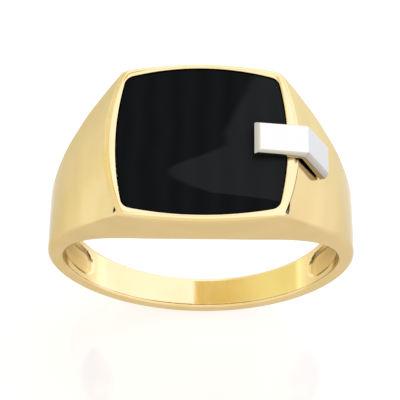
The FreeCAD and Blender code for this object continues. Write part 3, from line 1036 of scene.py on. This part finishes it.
    def painted_shade(self, x: np.ndarray, y: np.ndarray, z: np.ndarray) -> np.ndarray:
        """Finds how dark shade is painted in the gap, deep in the hollows and in their corners.

        Args:
            x: places across the finger, in mm.
            y: places along the finger, in mm.
            z: heights, in mm.

        Returns:
            From 0, unshaded, to 1.
        """
        reach, hollow = np.hypot(x, z) - self.bore_r, self.hollow(x, y, z)
        mouth, floor = self.pocket(x, y, z)
        (out, out_fade), (down, down_fade) = self.gap_shade_out, self.gap_shade_down
        gap = self.gap_shade * share_of(out - self.slot(x, y, z), out_fade)
        gap *= share_of(self.rim_foot(x) - down - z, down_fade)
        (start, start_fade), (back, back_fade) = self.deep_shade_in, self.deep_shade_back
        deep = self.deep_shade * share_of(reach - start, start_fade) * share_of(y + back, back_fade)
        deep *= hollow < self.deep_skin
        (depth, around, corner_fade), (wall_depth, half, wall_fade) = self.hook_corner, self.hook_wall
        corner = share_of(around - np.hypot(mouth + depth, floor + depth), corner_fade)
        wall = share_of(half - np.abs(mouth + wall_depth), wall_fade) * (reach > self.hook_bore_clear)
        (low, low_fade), (high, high_fade) = self.hook_low, self.hook_high
        there = share_of(z - low, low_fade) * share_of(high - z, high_fade)
        there *= (hollow < self.hook_skin) & (y > self.hook_from_y)
        return np.maximum(np.maximum(gap, deep), self.hook_shade * np.maximum(corner, wall) * there)

    def as_cast(self, x: np.ndarray, y: np.ndarray, z: np.ndarray) -> np.ndarray:
        """How much of a surface point lies inside a hollow, from 0 to 1."""
        end, fade = self.cast_skin
        return share_of(end - self.hollow(x, y, z), fade) * (np.hypot(x, z) > self.bore_r + self.bore_clear)

    def edge(self, x: np.ndarray, y: np.ndarray, z: np.ndarray) -> np.ndarray:
        """Finds how sharply the surface turns outwards, which is where fingers and cloth rub it.

        Args:
            x: places across the finger, in mm.
            y: places along the finger, in mm.
            z: heights, in mm.

        Returns:
            From 0 on flat faces to 1 on sharp edges.
        """
        points = np.stack([x, y, z], axis=1)
        ways = np.concatenate([np.eye(3), -np.eye(3)]) * self.rub_reach
        spread = sum(self.shape(*(points + way).T) for way in ways)
        return share_of(spread, self.rub_reach)

    def build(self) -> bpy.types.Object:
        """Makes, dresses and places the casting.

        Returns:
            The new piece.
        """
        (start_x, past_x), (start_y, past_y), (below, above) = self.fine_x, self.fine_y, self.fine_z
        width = graded(self.outer_r + self.margin, self.pitch, self.fine_pitch,
                       (start_x, self.rim_half_x + past_x))
        depth = graded(self.head_half_y + self.margin, self.pitch, self.fine_pitch,
                       (start_y, self.head_half_y + past_y))
        rim_low = self.rim_z - below
        height = np.concatenate([steps(-self.outer_r - self.margin, rim_low, self.pitch)[:-1],
                                 steps(rim_low, self.rim_z + above, self.fine_pitch)])
        # the marks include painted shade: darker colour in the gap, deep in the hollows and in their corners,
        # and a painted shadow line along the rim's foot
        piece = to_mesh("gold_body", self.shape, (width, depth, height),
                        {"as_cast": self.as_cast, "edge": self.edge, "painted_shade": self.painted_shade,
                         "seam_side": self.seam_side, "shadow_line_width": self.shadow_line_width})
        dress(piece, PolishedCastGold().make())
        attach(piece, BODY)
        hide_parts("ring_body")
        return piece


@dataclass
class AccentBar:
    """The white-gold bar, bent over the rim, with bevelled outside edges."""

    thick: float = 0.55
    leg_thick: float = 0.75        # of the lower leg, at its foot
    leg_taper: float = 0.04        # how much thinner it gets per mm up from its foot
    side_bevel: Tuple[float, float] = (0.19, 0.27)     # how far in from the edge, and how far down the wall
    end_bevel: Tuple[float, float] = (0.34, 0.40)
    tilt: float = 7.5              # of the upper leg, in degrees from level
    leg_angle: float = 62.3        # of the lower leg
    lower: float = 0.08            # how much further down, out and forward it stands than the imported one
    farther: float = 0.08
    forward: float = 0.05
    bend_r: float = 0.05
    notch_r: float = 0.1
    soft: float = 0.06
    side_shade_from: float = 0.03        # how far down a wall the painted shade starts
    side_shade_over: float = 0.12
    leg_side_shade: float = 0.7          # how strong the painted shade is on the lower leg
    leg_blend: float = 0.06
    pitch: float = 0.04
    margin: float = 0.12

    def __post_init__(self) -> None:
        """Takes the bar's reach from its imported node."""
        low, high = box_mm("accent_clip")
        self.low, self.high = low + np.array([0, 0, -self.lower]), high + np.array([self.farther, 0, 0])
        self.mid_y, self.half_w = (low[1] + high[1]) / 2 - self.forward, (high[1] - low[1]) / 2
        tilt, fall = math.radians(self.tilt), math.radians(self.leg_angle)
        self.over_way = math.sin(tilt), math.cos(tilt)
        self.outer_way = math.sin(fall), math.cos(fall)
        self.inner_x = self.low[0] + self.thick * math.sin(tilt)
        self.foot_z = self.low[2] + self.thick * math.cos(fall)

    def faces(self, x: np.ndarray, z: np.ndarray) -> Tuple[np.ndarray, np.ndarray]:
        """Measures out from the two legs' faces.

        Args:
            x: places across the finger, in mm.
            z: heights, in mm.

        Returns:
            The distances from the upper leg's face and from the lower leg's face, in mm.
        """
        (sin_t, cos_t), (sin_f, cos_f) = self.over_way, self.outer_way
        over = (x - self.inner_x) * sin_t + (z - self.high[2]) * cos_t
        outer = (x - self.high[0]) * sin_f + (z - self.foot_z) * cos_f
        return over, outer

    def painted_side_shade(self, x: np.ndarray, y: np.ndarray, z: np.ndarray) -> np.ndarray:
        """Finds where shade is painted: down the bevels and walls, and on the lower leg.

        Args:
            x: places across the finger, in mm.
            y: places along the finger, in mm.
            z: heights, in mm.

        Returns:
            From 0 on the upper leg's face to 1.
        """
        over, outer = self.faces(x, z)
        lower_leg = self.leg_side_shade * np.clip(0.5 + (outer - over) / self.leg_blend, 0, 1)
        return np.maximum(share_of(-np.maximum(over, outer) - self.side_shade_from, self.side_shade_over), lower_leg)

    def shape(self, x: np.ndarray, y: np.ndarray, z: np.ndarray) -> np.ndarray:
        """The bar's field.

        Args:
            x: places across the finger, in mm.
            y: places along the finger, in mm.
            z: heights, in mm.

        Returns:
            The field, in mm.
        """
        (sin_t, cos_t), (sin_f, cos_f) = self.over_way, self.outer_way
        over, outer = self.faces(x, z)
        inner_end = (z - self.high[2]) * sin_t - (x - self.inner_x) * cos_t
        foot_end = (x - self.high[0]) * cos_f - (z - self.foot_z) * sin_f
        side = np.abs(y - self.mid_y) - self.half_w
        convex = round_max(over, outer, self.bend_r)
        notch = round_max(over + self.thick, outer + self.leg_thick + self.leg_taper * foot_end, self.notch_r)
        ends = np.maximum(inner_end, foot_end)
        blank = round_max(round_max(convex, side, self.soft), round_max(ends, -notch, self.soft), self.soft)
        for face in (over, outer):
            for rim, (across, down) in ((side, self.side_bevel), (foot_end, self.side_bevel),
                                        (inner_end, self.end_bevel)):
                bevel = (face * across + rim * down + across * down) / math.hypot(across, down)
                blank = round_max(blank, bevel, self.soft)
        return blank

    def build(self) -> bpy.types.Object:
        """Makes, dresses and places the bar.

        Returns:
            The new piece.
        """
        axes = tuple(steps(low - self.margin, high + self.margin, self.pitch)
                     for low, high in zip(self.low, self.high))
        piece = to_mesh("accent_bar", self.shape, axes, {"painted_side_shade": self.painted_side_shade})
        # its last colour is painted shade, laid down the bevels, walls and lower leg
        dress(piece, WhiteMetal("rhodium_plated_white_gold", "#cac4b4", (0.063, 0.135), "#b2aea8").make())
        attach(piece, BODY)
        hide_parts("accent_clip")
        return piece


@dataclass
class HiddenFixings:
    """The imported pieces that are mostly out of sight: cement bed, posts and solder collars."""

    def build(self) -> List[bpy.types.Object]:
        """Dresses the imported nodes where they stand.

        Returns:
            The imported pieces.
        """
        finishes = {"stone_cement": DarkEpoxy(),
                    "clip_posts": WhiteMetal("drawn_white_gold_wire", "#e6e4e0", (0.098, 0.21)),
                    "post_solder": WhiteMetal("white_gold_solder", "#d2cdc2", (0.168, 0.36))}
        for node, finish in finishes.items():
            dress(frame["nodes"][node], finish.make())
            LOG.info("%s: packed node, dressed", node)
        return [frame["nodes"][node] for node in finishes]


# ------------------------------------------------------------------ studio
@dataclass(frozen=True)
class SoftTent:
    """A white tent all round the ring with light behind its wall: the only light.

    Its tones are linear light rather than hex colours, because they are brighter than white. Its spans are
    parts of a direction's unit length.
    """

    name: str = "soft_tent"
    dim: Tuple = (1.26, 1.29, 1.20, 1)
    window: Tuple = (1.70, 1.80, 2.34, 1)              # cool daylight, to the right and behind
    card_right: Tuple = (1.08, 0.92, 0.45, 1)          # a gold card, which warms the inside of the shank
    card_left: Tuple = (1.28, 1.30, 0.85, 1)
    # each edge: axis, where it starts and ends, and whether the light falls away past it
    edges: Tuple = (("X", -0.42, -0.12, False), ("Y", -0.75, -0.25, False),
                    ("Y", 0.35, 0.37, False), ("Y", 0.455, 0.470, True), ("X", 0.075, 0.095, True),
                    ("X", -0.85, -0.25, True))

    def light(self) -> None:
        """Makes the tent and puts it round the scene."""
        world = bpy.data.worlds.new(self.name)
        bpy.context.scene.world = world
        world.use_nodes = True
        tree = world.node_tree
        tree.nodes.clear()
        place = add_node(tree, "ShaderNodeTexCoord", {}, {})
        split = add_node(tree, "ShaderNodeSeparateXYZ", {}, {"Vector": (place, "Generated")})
        right, behind, low, high, end, leftward = (
            add_node(tree, "ShaderNodeMapRange",
                     {**EASED, "From Min": start, "From Max": stop, "To Min": float(falls),
                      "To Max": float(not falls)}, {"Value": (split, axis)})
            for axis, start, stop, falls in self.edges)
        lit, strip = (add_node(tree, "ShaderNodeMath", {"operation": "MULTIPLY"},
                               {0: (first, "Result"), 1: (second, "Result")})
                      for first, second in ((right, behind), (low, high)))
        card = add_node(tree, "ShaderNodeMath", {"operation": "MULTIPLY"},
                        {0: (strip, "Value"), 1: (end, "Result")})
        shade, warm = (add_node(tree, "ShaderNodeMix", {"data_type": "RGBA", COLOUR_A: one, COLOUR_B: other},
                                {FACTOR: share})
                       for one, other, share in ((self.dim, self.window, (lit, "Value")),
                                                 (self.card_right, self.card_left, (leftward, "Result"))))
        tent = add_node(tree, "ShaderNodeMix", {"data_type": "RGBA"},
                        {FACTOR: (card, "Value"), COLOUR_A: (shade, MIXED), COLOUR_B: (warm, MIXED)})
        light = add_node(tree, "ShaderNodeBackground", {"Strength": 1.0}, {"Color": (tent, MIXED)})
        add_node(tree, "ShaderNodeOutputWorld", {}, {"Surface": (light, "Background")})


@dataclass
class Studio:
    """A pale glossy floor, soft light all round, and the camera."""

    floor_half: float = 0.35       # m
    floor_cells: int = 24
    camera_rise: float = 62.44     # degrees above the floor
    camera_turn: float = 0.45      # degrees to the right of straight on
    camera_roll: float = 0.14
    camera_away: float = 122.9     # mm from the finger hole's centre
    aim: Tuple[float, float, float] = (-0.085, 0.0, 4.946)
    lens: float = 156.9
    sensor: float = 36.0
    near: float = 0.001            # m

    def floor(self) -> None:
        """Lays a large pale glossy sheet under the ring."""
        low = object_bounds()[0][2]
        count, row = self.floor_cells, self.floor_cells + 1
        line = np.linspace(-self.floor_half, self.floor_half, row)
        points = [(x, y, low) for y in line for x in line]
        faces = [(j * row + i, j * row + i + 1, (j + 1) * row + i + 1, (j + 1) * row + i)
                 for j in range(count) for i in range(count)]
        mesh = bpy.data.meshes.new("studio_floor")
        mesh.from_pydata(points, [], faces)
        sheet = bpy.data.objects.new("studio_floor", mesh)
        bpy.context.scene.collection.objects.link(sheet)
        dress(sheet, WhiteGlossAcrylic().make())
        sheet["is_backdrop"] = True

    def camera(self) -> None:
        """Sets the camera at the object's usual catalogue angle."""
        rise, turn, roll = (math.radians(a) for a in (self.camera_rise, self.camera_turn, self.camera_roll))
        away = Vector((math.sin(turn) * math.cos(rise), -math.cos(turn) * math.cos(rise), math.sin(rise)))
        place = away * self.camera_away
        look = (Vector(self.aim) - place).normalized()
        right = look.cross(Vector((0, 0, 1))).normalized()
        up = right.cross(look)
        turned = right * math.cos(roll) + up * math.sin(roll)
        data = bpy.data.cameras.new("camera")
        data.lens = self.lens
        data.sensor_width = self.sensor
        data.clip_start = self.near
        eye = bpy.data.objects.new("camera", data)
        bpy.context.scene.collection.objects.link(eye)
        facing = Matrix((turned, turned.cross(look), -look)).transposed()
        eye.matrix_world = Matrix.Translation(place * MM) @ facing.to_4x4()
        bpy.context.scene.camera = eye

    def build(self) -> None:
        """Builds the whole studio."""
        self.floor()
        SoftTent().light()
        self.camera()
        bpy.context.scene.view_settings.view_transform = "Standard"


def main() -> None:
    """Builds every piece of the ring, then the studio."""
    logging.basicConfig(level=logging.INFO, format="%(message)s")
    stone = Stone()
    for builder in (stone, GoldBody(stone), AccentBar(), HiddenFixings(), Studio()):
        builder.build()
        LOG.info("built %s", type(builder).__name__)


if __name__ == "__main__":
    main()
